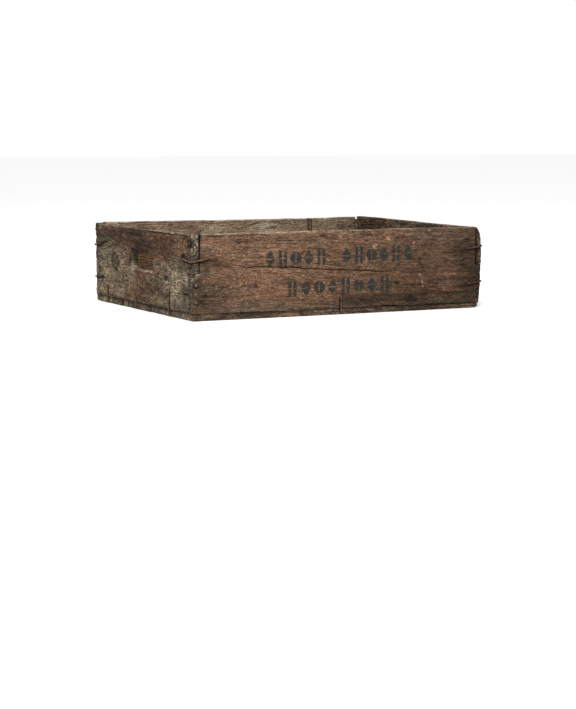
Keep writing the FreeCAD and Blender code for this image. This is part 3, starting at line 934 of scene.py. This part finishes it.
def left_board():
    """The left end: a big knot, long grooves above the hand hole, torn fibres in front."""
    board = end_board("left_end_board", -1, LEFT_THICK, SQUARE_CORNER, 300)
    board.pith = (-0.16, -0.060)
    board.pith_slope = (0.05, 0.05)
    board.knots = [(132, 83, 14, 13, 55, 26)]
    board.knot_border = 2.8
    board.bends = [(60, 50, 80, 34, 8), (-150, 55, 60, 40, 2.5), (-125, 37, 25, 14, -3)]
    board.cracks = [
        ([(206, 99), (185, 103), (165, 108), (150, 111.5), (138, 114), (125, 114.5),
          (112, 111), (100, 106.5)], 0.8, 2.0, 1),
        ([(238, 108), (205, 113), (165, 119)], 0.8, 1.6, 1),
        ([(-236, 145.5), (-150, 146), (-40, 145)], 0.6, 1.2, 1),
        ([(90, 138), (40, 138.5), (-10, 136)], 0.6, 1.2, 1),
    ]
    board.chips = [
        (238, 122, 7, 5, 5, 4), (238, 104, 7, 4, 7, 4), (238, 62, 7, 4, 3, 4),
        (238.5, 138, 4, 3.5, 2.5, 6), (238.5, 131, 6, 2.5, 2, 5), (238.5, 113, 6, 3, 2, 5),
        (-127, 69.5, 7, 9, 2.6, 2), (-162, 20.2, 7, 3, 1.8, 3), (-212, 45, 7.4, 12, 1.4, 1.4),
        (-208, 108, 7, 5, 3.4, 3), (150, 149.5, 7, 20, 2, 3), (20, 149.6, 7, 16, 1.6, 3),
        (75, 128, 7.2, 22, 3, 1.6), (-130, 37, 7.2, 10, 3, 1.8), (-237, 134, 7, 3, 4, 2),
    ]
    board.marks = [
        # Round the knot
        (200, 113.5, 34, 2, -0.9, 0.5, -9), (119, 91, 4, 3.2, -1.4, 0.6), (114, 80, 3.4, 4.5, -1.5, 0.6),
        (123, 66, 5, 2.4, -1.5, 0.6), (149, 84, 3, 13, -0.8, 0.3, 8), (135, 97, 7, 1.8, -0.8, 0.3),
        (143, 71, 4, 1.5, -0.6, 0.2, -40), (80, 82, 2.5, 1.5, -0.6, 0.3), (110, 46, 6, 1, -0.6, 0.3),
        (108, 37, 8, 1, -0.6, 0.3), (127, 45, 2.5, 6, -0.4, 0.2), (132, 83, 11, 11, -0.25),
        # Long grooves in the upper band
        (50, 139, 50, 2.2, -0.45, 0.4, 2), (-100, 146.5, 120, 1.4, -0.5, 0.5),
        (30, 124, 60, 2.2, -0.5, 0.3, 3), (-30, 126.5, 40, 1.6, -0.4, 0.3, 2),
        (0, 108, 50, 3.5, -0.55, 0.2), (10, 119, 40, 2, -0.4, 0.2, 3), (-105, 116, 6, 2, -0.6, 0.3),
        (135, 140, 6, 2.5, -0.6, 0.4), (145, 145.5, 5, 1.2, -0.6, 0.3), (-158, 130, 10, 3, -0.35, 0.1),
        # Holes, gouges and torn fibres towards the front
        (-203, 109, 9, 6, -1.6, 0.8), (-200, 105, 14, 2, -0.8, 0.3), (-231, 133, 9, 7.5, -1.9, 1),
        (-121, 68.5, 9, 3.8, -1.2, 0.8), (-129, 37, 12, 3.2, -1, 0.6, -27),
        (-66, 48, 14, 1.6, -0.5, 0.2, 88), (-84, 55, 18, 1.4, -0.65, 0.3, 90),
        (-75, 55, 13, 9, -0.4, 0, 80), (-100, 42, 10, 1.4, -0.5, 0.2, 92), (-104, 54, 3, 3, -0.6, 0.3),
        (-84, 72, 3, 3, -0.6, 0.3), (-160, 20.5, 4, 1.8, -1.2, 0.6, -15), (-168, 22, 4, 1, -0.8, 0.4),
        (-203, 32.5, 4, 1.2, -0.7, 0.3), (-212, 45, 14, 1.6, -1, 0.5), (-202, 56, 2, 2, -0.5, 0.2),
        (-200, 50, 2, 8, -0.35, 0.1), (210, 13, 5, 2, -0.6, 0.3), (190, 27, 6, 2, -0.4, 0.2),
        (226, 66, 3, 0.8, -0.9, 0.5), (195, 47, 18, 3, -0.6, 0.1, -3),
        # Pale bleached patches
        (-170, 55, 40, 5, 0.3, 0, 90), (-165, 78, 12, 7, 0.2), (-210, 75, 14, 11, 0.12),
        (-90, 20, 14, 6, 0.35), (150, 34, 9, 2.5, 0.45), (185, 60, 20, 10, 0.15),
        (140, 121, 12, 2, 0.3, 0, -8), (88, 127, 7, 1.2, 0.9, 0, 12), (-65, 94, 3, 1.5, 0.5),
        # The marks at (-6, 73) and (49, 76.5) run along the hand hole's lower lip: worn pale wood with a
        # painted highlight
        (-100, 99, 5, 2, 0.3), (-104, 88, 5, 6, 0.25), (-6, 73, 56, 1.7, 0.62),
        (49, 76.5, 8, 1.8, 0.4, 0, 40),
    ]
    board.worn_edges = [(48, 92, 14, 14, 4.5)]
    board.weathered = [
        (-170, 55, 70, 50, 0.6), (170, 75, 90, 45, 0.45), (20, 130, 220, 24, -0.95),
        (-110, 103, 70, 14, -0.6), (0, 45, 70, 24, -0.35), (190, 125, 50, 20, 0.45),
        (100, 45, 30, 20, -0.2),
    ]
    board.shaded = [
        # The patch at (52, 88) is painted shade on the rear wall and in the recess of the hand hole
        (30, 130, 200, 24, -0.65), (0, 45, 90, 30, -0.15), (52, 88, 6, 8, -1), (-237, 90, 4, 14, -0.7),
        (60, 110, 60, 8, -0.15), (-200, 55, 50, 30, -0.25), (230, 70, 20, 80, -0.3),
        (20, 108, 40, 15, -0.35), (160, 132, 60, 15, -0.2), (70, 55, 40, 25, 0.25),
        (225, 108, 30, 5, -0.7), (222, 64, 20, 5, -0.7), (170, 24, 40, 14, -0.4), (90, 105, 45, 14, 0.45),
        (-50, 106, 50, 12, -0.3), (-212, 132, 30, 14, 0.35), (-212, 78, 20, 12, 0.3),
        (-212, 51, 20, 12, -0.25), (50, 135, 50, 12, 0.25), (70, 105, 30, 12, 0.3),
        (164, 132, 30, 12, -0.3), (164, 78, 30, 12, -0.25), (23, 78, 25, 12, -0.25),
        (117, 24, 30, 12, 0.25), (45, 120, 35, 14, 0.3), (-100, 128, 50, 18, -0.2),
        (-212, 102, 20, 12, -0.35), (-205, 50, 20, 15, -0.35), (-165, 24, 25, 12, 0.22),
        (-70, 24, 25, 12, 0.2), (-24, 65, 20, 20, 0.2), (90, 105, 40, 12, 0.2), (211, 78, 20, 12, 0.25),
        (175, 80, 30, 22, -0.2), (-150, 52, 30, 20, -0.1), (23, 90, 30, 22, -0.22),
        (-237.5, 144, 4, 10, -0.3),
    ]
    return board


def right_board():
    """The right end, with its rear upper corner broken off."""
    board = end_board("right_end_board", 1, RIGHT_THICK, BROKEN_CORNER, 400)
    board.pith = (0.10, -0.05)
    board.pith_slope = (-0.05, 0.04)
    board.knots = [(-130, 52, 9, 10, 40, 18), (170, 40, 5, 6, 26, 12)]
    board.cracks = [
        ([(90, 60), (150, 57), (222, 60)], 0.9, 2.0, 1),
        ([(-236, 115), (-180, 113), (-120, 116)], 0.7, 1.4, 1),
        ([(-200, 130), (-120, 128), (-60, 131)], 0.6, 1.2, -1),
        ([(60, 134), (130, 135), (205, 132)], 0.7, 1.4, -1),
    ]
    board.worn_edges = [(-237.5, 149, 14, 14, 8)]
    board.weathered = [(0, 30, 200, 20, -0.2), (-237.5, 115, 8, 60, 0.1)]
    board.shaded = [(0, 120, 300, 60, -0.35), (-237.5, 100, 8, 50, -0.5)]
    # The long dark mark at (-230.5, 115) is painted shade in the gap behind the front board's right end
    board.inner_marks = [(224, 131, 2.6, 11, 1), (-230.5, 115, 45, 6.5, -2, 0, 90)]
    board.pale_ends = 0.1
    board.weather = 0.40
    return board


def bottom_board(name, front, rear, seed, left_corner=()):
    """One bottom board between two long edges in mm, a little short at both ends."""
    low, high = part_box(name)
    loop = rectangle_loop((low.x + 2.5 * MM, front * MM), (high.x - 2.5 * MM, rear * MM))
    if left_corner:
        loop = left_corner + loop[1:]
    board = Board(
        name, "bottom_wood", [loop], (X_AXIS, Y_AXIS, (0, 0, -1)), -BOTTOM_THICK / 2,
        BOTTOM_THICK, seed)
    board.weather = 0.62
    board.mottle = 1.9
    # The long outer walls are darker: partly the wood's own tone, partly painted shade along the foot of
    # the crate
    board.shaded = [(0, edge, 500, 4, -0.35) for edge in (rear, front)]
    board.weathered = [(0, edge, 500, 4, -0.2) for edge in (rear, front)]
    board.pale_ends = 0.5
    board.ring_pitch = 4.0 * MM
    board.edge_radius = 0.9 * MM
    return board


def bottom_boards():
    """Three lengthwise bottom boards with worn and broken ends."""
    front = bottom_board("bottom_board_front", -237.5, -56, 500)
    front.pith = (-0.15, 0.05)
    front.shaded += [(-290, -100, 6, 30, -0.25)]
    front.worn_edges = [(290, -237.5, 100, 20, 3), (-290, -56, 12, 12, 3), (150, -237.5, 100, 10, 1.5)]
    front.chips = [(-192, -237.5, 0, 14, 2, 2.4), (-292, -60, 3, 6, 7, 5)]
    front.marks = [(266, -237, 16, 4, 0.6)]
    front.inner_marks = front.marks
    front.cracks = [([(-292, -140), (-200, -143), (-120, -139)], 0.9, 2.0, 0)]
    corner = from_mm((-289, -40), (-286, -42), (-285, -47), (-280, -49), (-278, -54.5))
    middle = bottom_board("bottom_board_middle", -54.5, 96, 600, corner)
    middle.pith = (0.04, 0.04)
    middle.shaded += [(-290, 20, 6, 75, -0.55)]
    middle.knots = [(90, 20, 9, 9, 40, 16)]
    middle.cracks = [([(120, 40), (200, 43), (289, 41)], 1.0, 2.2, 0)]
    rear = bottom_board("bottom_board_rear", 97.5, 237.5, 700)
    rear.pith = (0.20, 0.05)
    rear.shaded += [(-290, 125, 6, 55, -0.55)]
    rear.knots = [(-120, 160, 7, 8, 34, 14)]
    rear.worn_edges = [(-290, 237.5, 20, 20, 2.5)]
    rear.cracks = [([(-291, 180), (-210, 176), (-150, 178)], 0.9, 2.0, 0)]
    return [front, middle, rear]


# ---------------- metal

# Natural logarithm of how much darker some of the metal is; less than 0 is lighter
DARKER_METAL = {
    "back_rim_strap": -0.4,
    "corner_staple_front_left_upper": -0.25,
    "corner_staple_front_right_upper": 0.45,
    "corner_staple_front_right_lower": 0.45,
    "corner_staple_back_left_upper": 0.6,
    "corner_staple_back_left_lower": 0.6,
    "end_tongue_nails_front_left": 0.35,
    "side_tongue_nails_front_right": 1.2,
    "end_tongue_nails_front_right": 0.6,
}


def rough_metal(name, seed):
    """Rust-pitted copy of a wire, nail or strap."""
    mesh = remeshed(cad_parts[name].data.copy(), METAL_VOXEL)
    points = read_points(mesh)
    lumps = noise(points / (1.3 * MM), seed) + 0.5 * noise(points / (0.6 * MM), seed + 1)
    waves = noise(points / (9 * MM), seed + 2)
    points += read_normals(mesh) * (PIT_DEPTH * (lumps + waves))[:, None]
    write_points(mesh, settle(points, name))
    darker = DARKER_METAL.get(name, 0.0)
    store(mesh, "tone", np.exp(0.35 * noise(points / (4 * MM), seed + 3) - darker))
    slot = "rusted_nail" if "nail" in name else "rusted_strap" if "strap" in name else "rusted_wire"
    return finish_piece(mesh, name, "_rusted", slot)


# ---------------- materials

class Nodes:
    """Builds a material's node tree from left to right."""

    def __init__(self, name):
        self.material = bpy.data.materials.new(name)
        self.material.use_nodes = True
        self.tree = self.material.node_tree
        self.shader = self.tree.nodes["Principled BSDF"]

    def add(self, kind, inputs=(), **settings):
        """A new node with its settings, and its inputs set or fed."""
        node = self.tree.nodes.new(kind)
        for key, value in settings.items():
            setattr(node, key, value)
        for socket, value in dict(inputs).items():
            self.feed(node.inputs[socket], value)
        return node

    def feed(self, socket, value):
        if isinstance(value, bpy.types.NodeSocket):
            self.tree.links.new(value, socket)
        else:
            socket.default_value = value

    def field(self, name, output="Fac"):
        """A field stored on the mesh."""
        return self.add("ShaderNodeAttribute", attribute_name=name).outputs[output]

    def math(self, operation, first, second=0.0):
        return self.add("ShaderNodeMath", {0: first, 1: second}, operation=operation).outputs[0]

    def times(self, first, second):
        return self.math("MULTIPLY", first, second)

    def add_up(self, first, *others):
        total = first
        for other in others:
            total = self.math("ADD", total, other)
        return total

    def centred(self, value, strength):
        """A 0 to 1 noise as plus and minus half the strength."""
        return self.times(self.math("SUBTRACT", value, 0.5), strength)

    def scaled(self, vector, scale):
        node = self.add("ShaderNodeVectorMath", {0: vector, 1: scale}, operation="MULTIPLY")
        return node.outputs[0]

    def noise(self, vector, scale, detail=3.0, roughness=0.55):
        """Noise from 0 to 1, with a scale for each axis of the vector."""
        inputs = {
            "Vector": self.scaled(vector, scale), "Scale": 1.0, "Detail": detail,
            "Roughness": roughness,
        }
        return self.add("ShaderNodeTexNoise", inputs).outputs["Fac"]

    def smooth(self, value, low, high, to_low=0.0, to_high=1.0):
        """Smooth step between two levels."""
        inputs = {
            "Value": value, "From Min": low, "From Max": high,
            "To Min": to_low, "To Max": to_high,
        }
        node = self.add("ShaderNodeMapRange", inputs, interpolation_type="SMOOTHSTEP")
        return node.outputs["Result"]

    def mix(self, factor, first, second, blend="MIX"):
        node = self.add("ShaderNodeMix", data_type="RGBA", blend_type=blend, clamp_factor=True)
        self.feed(node.inputs["Factor"], factor)
        for socket, value in ((6, first), (7, second)):
            is_socket = isinstance(value, bpy.types.NodeSocket)
            self.feed(node.inputs[socket], value if is_socket else (*value, 1.0))
        return node.outputs[2]

    def multiply(self, base, by):
        return self.mix(1.0, base, by, "MULTIPLY")

    def bump(self, height, distance, strength=1.0):
        inputs = {"Height": height, "Distance": distance, "Strength": strength}
        return self.add("ShaderNodeBump", inputs).outputs["Normal"]

    def surface(self, name, value):
        """Sets or feeds an input of the material's shader."""
        self.feed(self.shader.inputs[name], value)


INK_COLOUR = (0.018, 0.023, 0.021)
# Colour of the rust stain, which also paints the shadow under the metal
RUST_AND_SHADOW_COLOUR = (0.016, 0.009, 0.006)
END_GRAIN_COLOUR = (0.235, 0.192, 0.138)
RIM_WEAR_AND_HIGHLIGHT_COLOUR = (0.215, 0.162, 0.113)
CRACK_COLOUR = (0.006, 0.0045, 0.0035)
DIRT_COLOUR = (0.028, 0.022, 0.016)
FLECK_COLOUR = (0.36, 0.32, 0.27)


def wood_material(name, warm, grey, ring_contrast, coarse, inked=False):
    """Weathered softwood, driven by the fields stored on the board.

    warm and grey are each a light and a dark colour, of fresh and of weathered wood;
    coarse is how strongly fibres and specks stand out.
    """
    n = Nodes(name)
    grain = n.field("grain", "Vector")
    fibre = n.noise(grain, (75, 520, 520), detail=6, roughness=0.65)
    speck = n.noise(grain, (280, 480, 480), detail=5, roughness=0.68)
    grime = n.noise(grain, (60, 110, 110), detail=6, roughness=0.72)
    thread = n.noise(grain, (8, 430, 430), detail=3, roughness=0.5)

    # Growth rings: soft wood fading into a hard dark line
    phase = n.math("FRACT", n.add_up(n.field("ring"), n.centred(grime, 0.5)))
    rising = n.smooth(phase, 0.25, 0.88)
    falling = n.smooth(phase, 0.90, 1.0, 1.0, 0.0)
    late = n.times(rising, falling)
    line = n.times(late, n.smooth(grime, 0.3, 0.62, 0.25, 1.0))

    fresh = n.mix(n.times(line, ring_contrast), *warm)
    bleached = n.mix(n.times(line, ring_contrast * 0.75), *grey)
    mottled = n.add_up(n.field("weather"), n.centred(grime, 1.2), n.centred(fibre, 0.9))
    base = n.mix(n.smooth(mottled, 0.10, 0.90), fresh, bleached)

    # Cut ends are pale grey with dark pores; worn rims are paler and carry a painted highlight
    cut = n.mix(n.smooth(speck, 0.34, 0.60), grey[1], END_GRAIN_COLOUR)
    base = n.mix(n.times(n.field("end_grain"), 0.8), base, cut)
    rim = n.times(n.field("rim"), n.smooth(grime, 0.40, 0.56, 0.35, 1.0))
    base = n.mix(n.times(rim, 0.9), base, RIM_WEAR_AND_HIGHLIGHT_COLOUR)

    # Light and dark blotches, fibres, specks and long dark threads
    base = n.multiply(base, n.field("tone"))
    for field, reach in ((fibre, 0.50), (speck, 0.66)):
        swing = coarse * reach
        base = n.multiply(base, n.smooth(field, 0.30, 0.70, 1 - swing, 1 + swing))
    base = n.multiply(base, n.smooth(thread, 0.36, 0.46, 0.60, 1.03))

    # Knots and closed joints are dark
    base = n.mix(n.times(n.field("knot"), 0.35), base, grey[1])
    base = n.mix(n.times(n.field("joint"), 0.9), base, CRACK_COLOUR)

    # Ink, rubbed off the raised fibres
    if inked:
        edge = n.add_up(n.field("ink"), n.centred(grime, 0.0030), n.centred(speck, 0.0016))
        inside = n.smooth(edge, -0.0006, 0.0006, 1.0, 0.0)
        wear = n.add_up(n.times(fibre, 0.5), n.times(grime, 0.6))
        kept = n.smooth(wear, 0.48, 0.74, 0.96, 0.60)
        shaded_ink = n.multiply(INK_COLOUR, n.smooth(speck, 0.25, 0.75, 0.75, 1.3))
        base = n.mix(n.times(inside, kept), base, shaded_ink)

    # Dirt, pores, rust stains with a painted shadow under the metal, and cracks
    soiled = n.add_up(n.field("dirt"), n.centred(grime, 2.4))
    base = n.mix(n.smooth(soiled, 0.05, 1.0, 0.0, 0.80), base, DIRT_COLOUR)
    pores = n.smooth(n.noise(grain, (90, 700, 700), detail=3), 0.58, 0.68)
    base = n.mix(n.times(pores, 0.6), base, DIRT_COLOUR)
    stain_and_shadow = n.times(n.field("rust"), n.smooth(speck, 0.2, 0.8, 0.8, 1.3))
    base = n.mix(n.smooth(stain_and_shadow, 0.1, 0.8, 0.0, 0.92), base, RUST_AND_SHADOW_COLOUR)
    split = n.smooth(n.math("ABSOLUTE", n.field("crack_side")), 0.35, 0.95, 1.0, 0.0)
    split = n.times(split, n.smooth(n.field("crack_near"), 0.35, 0.7))
    base = n.mix(split, base, CRACK_COLOUR)

    # Dry raised fibres and pale flecks
    dry = n.smooth(n.noise(grain, (60, 700, 700), detail=2), 0.64, 0.74)
    base = n.mix(n.times(dry, 0.35), base, grey[0])
    spots = n.noise(grain, (260, 330, 330), detail=2, roughness=0.5)
    base = n.mix(n.smooth(spots, 0.75, 0.80, 0.0, 0.5), base, FLECK_COLOUR)
    base = n.mix(n.smooth(n.field("tone"), 2.1, 3.0, 0.0, 0.8), base, FLECK_COLOUR)

    n.surface("Base Color", base)
    n.surface("Roughness", n.smooth(fibre, 0.2, 0.8, 0.76, 0.95))
    n.surface("Specular IOR Level", 0.06)

    ridges = n.add_up(fibre, n.times(line, 0.4), n.times(speck, 0.6), n.times(pores, -0.5))
    n.surface("Normal", n.bump(ridges, 0.8 * MM))
    return n.material


def rust_material(name, dark, light, scale):
    """Rusty steel: dark scale with lighter brown bloom."""
    n = Nodes(name)
    place = n.add("ShaderNodeTexCoord").outputs["Object"]
    bloom = n.noise(place, (scale, scale, scale), detail=5, roughness=0.65)
    fine = n.noise(place, (scale * 5, scale * 5, scale * 5), detail=3)
    base = n.mix(n.smooth(bloom, 0.35, 0.68), dark, light)
    base = n.multiply(base, n.smooth(fine, 0.25, 0.75, 0.7, 1.35))
    base = n.multiply(base, n.field("tone"))
    n.surface("Base Color", base)
    n.surface("Roughness", n.smooth(bloom, 0.3, 0.7, 0.75, 0.95))
    n.surface("Specular IOR Level", 0.2)
    n.surface("Metallic", n.smooth(bloom, 0.3, 0.5, 0.25, 0.0))
    n.surface("Normal", n.bump(fine, 0.25 * MM, 0.8))
    return n.material


def make_materials():
    """One material per slot."""
    return {
        "side_wood": wood_material(
            "weathered_side_wood",
            ((0.143, 0.080, 0.048), (0.065, 0.035, 0.020)),
            ((0.126, 0.092, 0.061), (0.049, 0.036, 0.024)), 0.5, 0.85, inked=True),
        "end_wood": wood_material(
            "weathered_end_wood",
            ((0.109, 0.059, 0.034), (0.050, 0.027, 0.015)),
            ((0.136, 0.107, 0.069), (0.051, 0.040, 0.025)), 0.5, 1.3),
        "bottom_wood": wood_material(
            "weathered_bottom_wood",
            ((0.098, 0.062, 0.039), (0.054, 0.033, 0.020)),
            ((0.120, 0.091, 0.057), (0.044, 0.034, 0.021)), 0.7, 1.1),
        "rusted_wire": rust_material("rusted_wire", (0.034, 0.019, 0.013), (0.125, 0.066, 0.042), 260),
        "rusted_nail": rust_material("rusted_nail", (0.040, 0.022, 0.015), (0.150, 0.080, 0.052), 320),
        "rusted_strap": rust_material("rusted_strap", (0.036, 0.021, 0.014), (0.115, 0.068, 0.044), 200),
    }


# ---------------- studio

CAMERA_PLACE = (-1.4838, -3.0474, 0.3088)
CAMERA_YAW = math.radians(26.126)
CAMERA_PITCH = math.radians(6.852)
CAMERA_ROLL = math.radians(-0.123)
CAMERA_LENS = 90.4
LIGHT_PLACE = (-1.2, -2.4, 2.8)
LIGHT_TARGET = (0, 0, 0.08)
LIGHT_SIZE = 0.9
LIGHT_POWER = 110
FLOOR_Z = -0.7 * MM
FLOOR_HALF_SIZE = 30.0


def make_camera():
    """Long lens, a little above the rim, looking at the front left corner."""
    data = bpy.data.cameras.new("camera")
    data.lens = CAMERA_LENS
    data.sensor_width = 36.0
    camera = new_object("camera", data)
    turn = (
        Matrix.Rotation(-CAMERA_YAW, 4, "Z")
        @ Matrix.Rotation(math.pi / 2 - CAMERA_PITCH, 4, "X")
        @ Matrix.Rotation(CAMERA_ROLL, 4, "Z")
    )
    camera.matrix_world = Matrix.Translation(CAMERA_PLACE) @ turn
    bpy.context.scene.camera = camera


def make_light():
    """Square soft light aimed at the middle of the crate."""
    data = bpy.data.lights.new("key", "AREA")
    data.shape = "SQUARE"
    data.size = LIGHT_SIZE
    data.energy = LIGHT_POWER
    lamp = new_object("key", data)
    lamp.location = LIGHT_PLACE
    aim = Vector(LIGHT_TARGET) - Vector(LIGHT_PLACE)
    lamp.rotation_euler = aim.to_track_quat("-Z", "Y").to_euler()


def make_studio():
    """Pale floor under the lowest bumps of the boards, white surroundings and a soft light."""
    mesh = bpy.data.meshes.new("floor")
    size = FLOOR_HALF_SIZE
    corners = [(x, y, FLOOR_Z) for x, y in rectangle_loop((-size, -size), (size, size))]
    mesh.from_pydata(corners, [], [(0, 1, 2, 3)])
    new_object("floor", mesh)
    n = Nodes("pale_floor")
    n.surface("Base Color", (0.95, 0.95, 0.95, 1))
    n.surface("Roughness", 0.9)
    n.surface("Specular IOR Level", 0.0)
    mesh.materials.append(n.material)
    world = bpy.data.worlds.new("white")
    world.use_nodes = True
    world.node_tree.nodes["Background"].inputs["Color"].default_value = (1, 1, 1, 1)
    world.node_tree.nodes["Background"].inputs["Strength"].default_value = 1.0
    bpy.context.scene.world = world
    make_light()
    bpy.context.scene.view_settings.view_transform = "Standard"


# ---------------- assembly

def main():
    materials = make_materials()
    names = sorted(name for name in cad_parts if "board" not in name)
    metal = [rough_metal(name, 900 + 10 * index) for index, name in enumerate(names)]
    clouds = [search_cloud(piece) for piece in metal]
    boards = [front_board(), back_board(), left_board(), right_board()] + bottom_boards()
    for piece in metal + [make_board(board, clouds) for board in boards]:
        piece.data.materials.clear()
        piece.data.materials.append(materials[piece["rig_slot"]])
    make_studio()
    make_camera()


main()
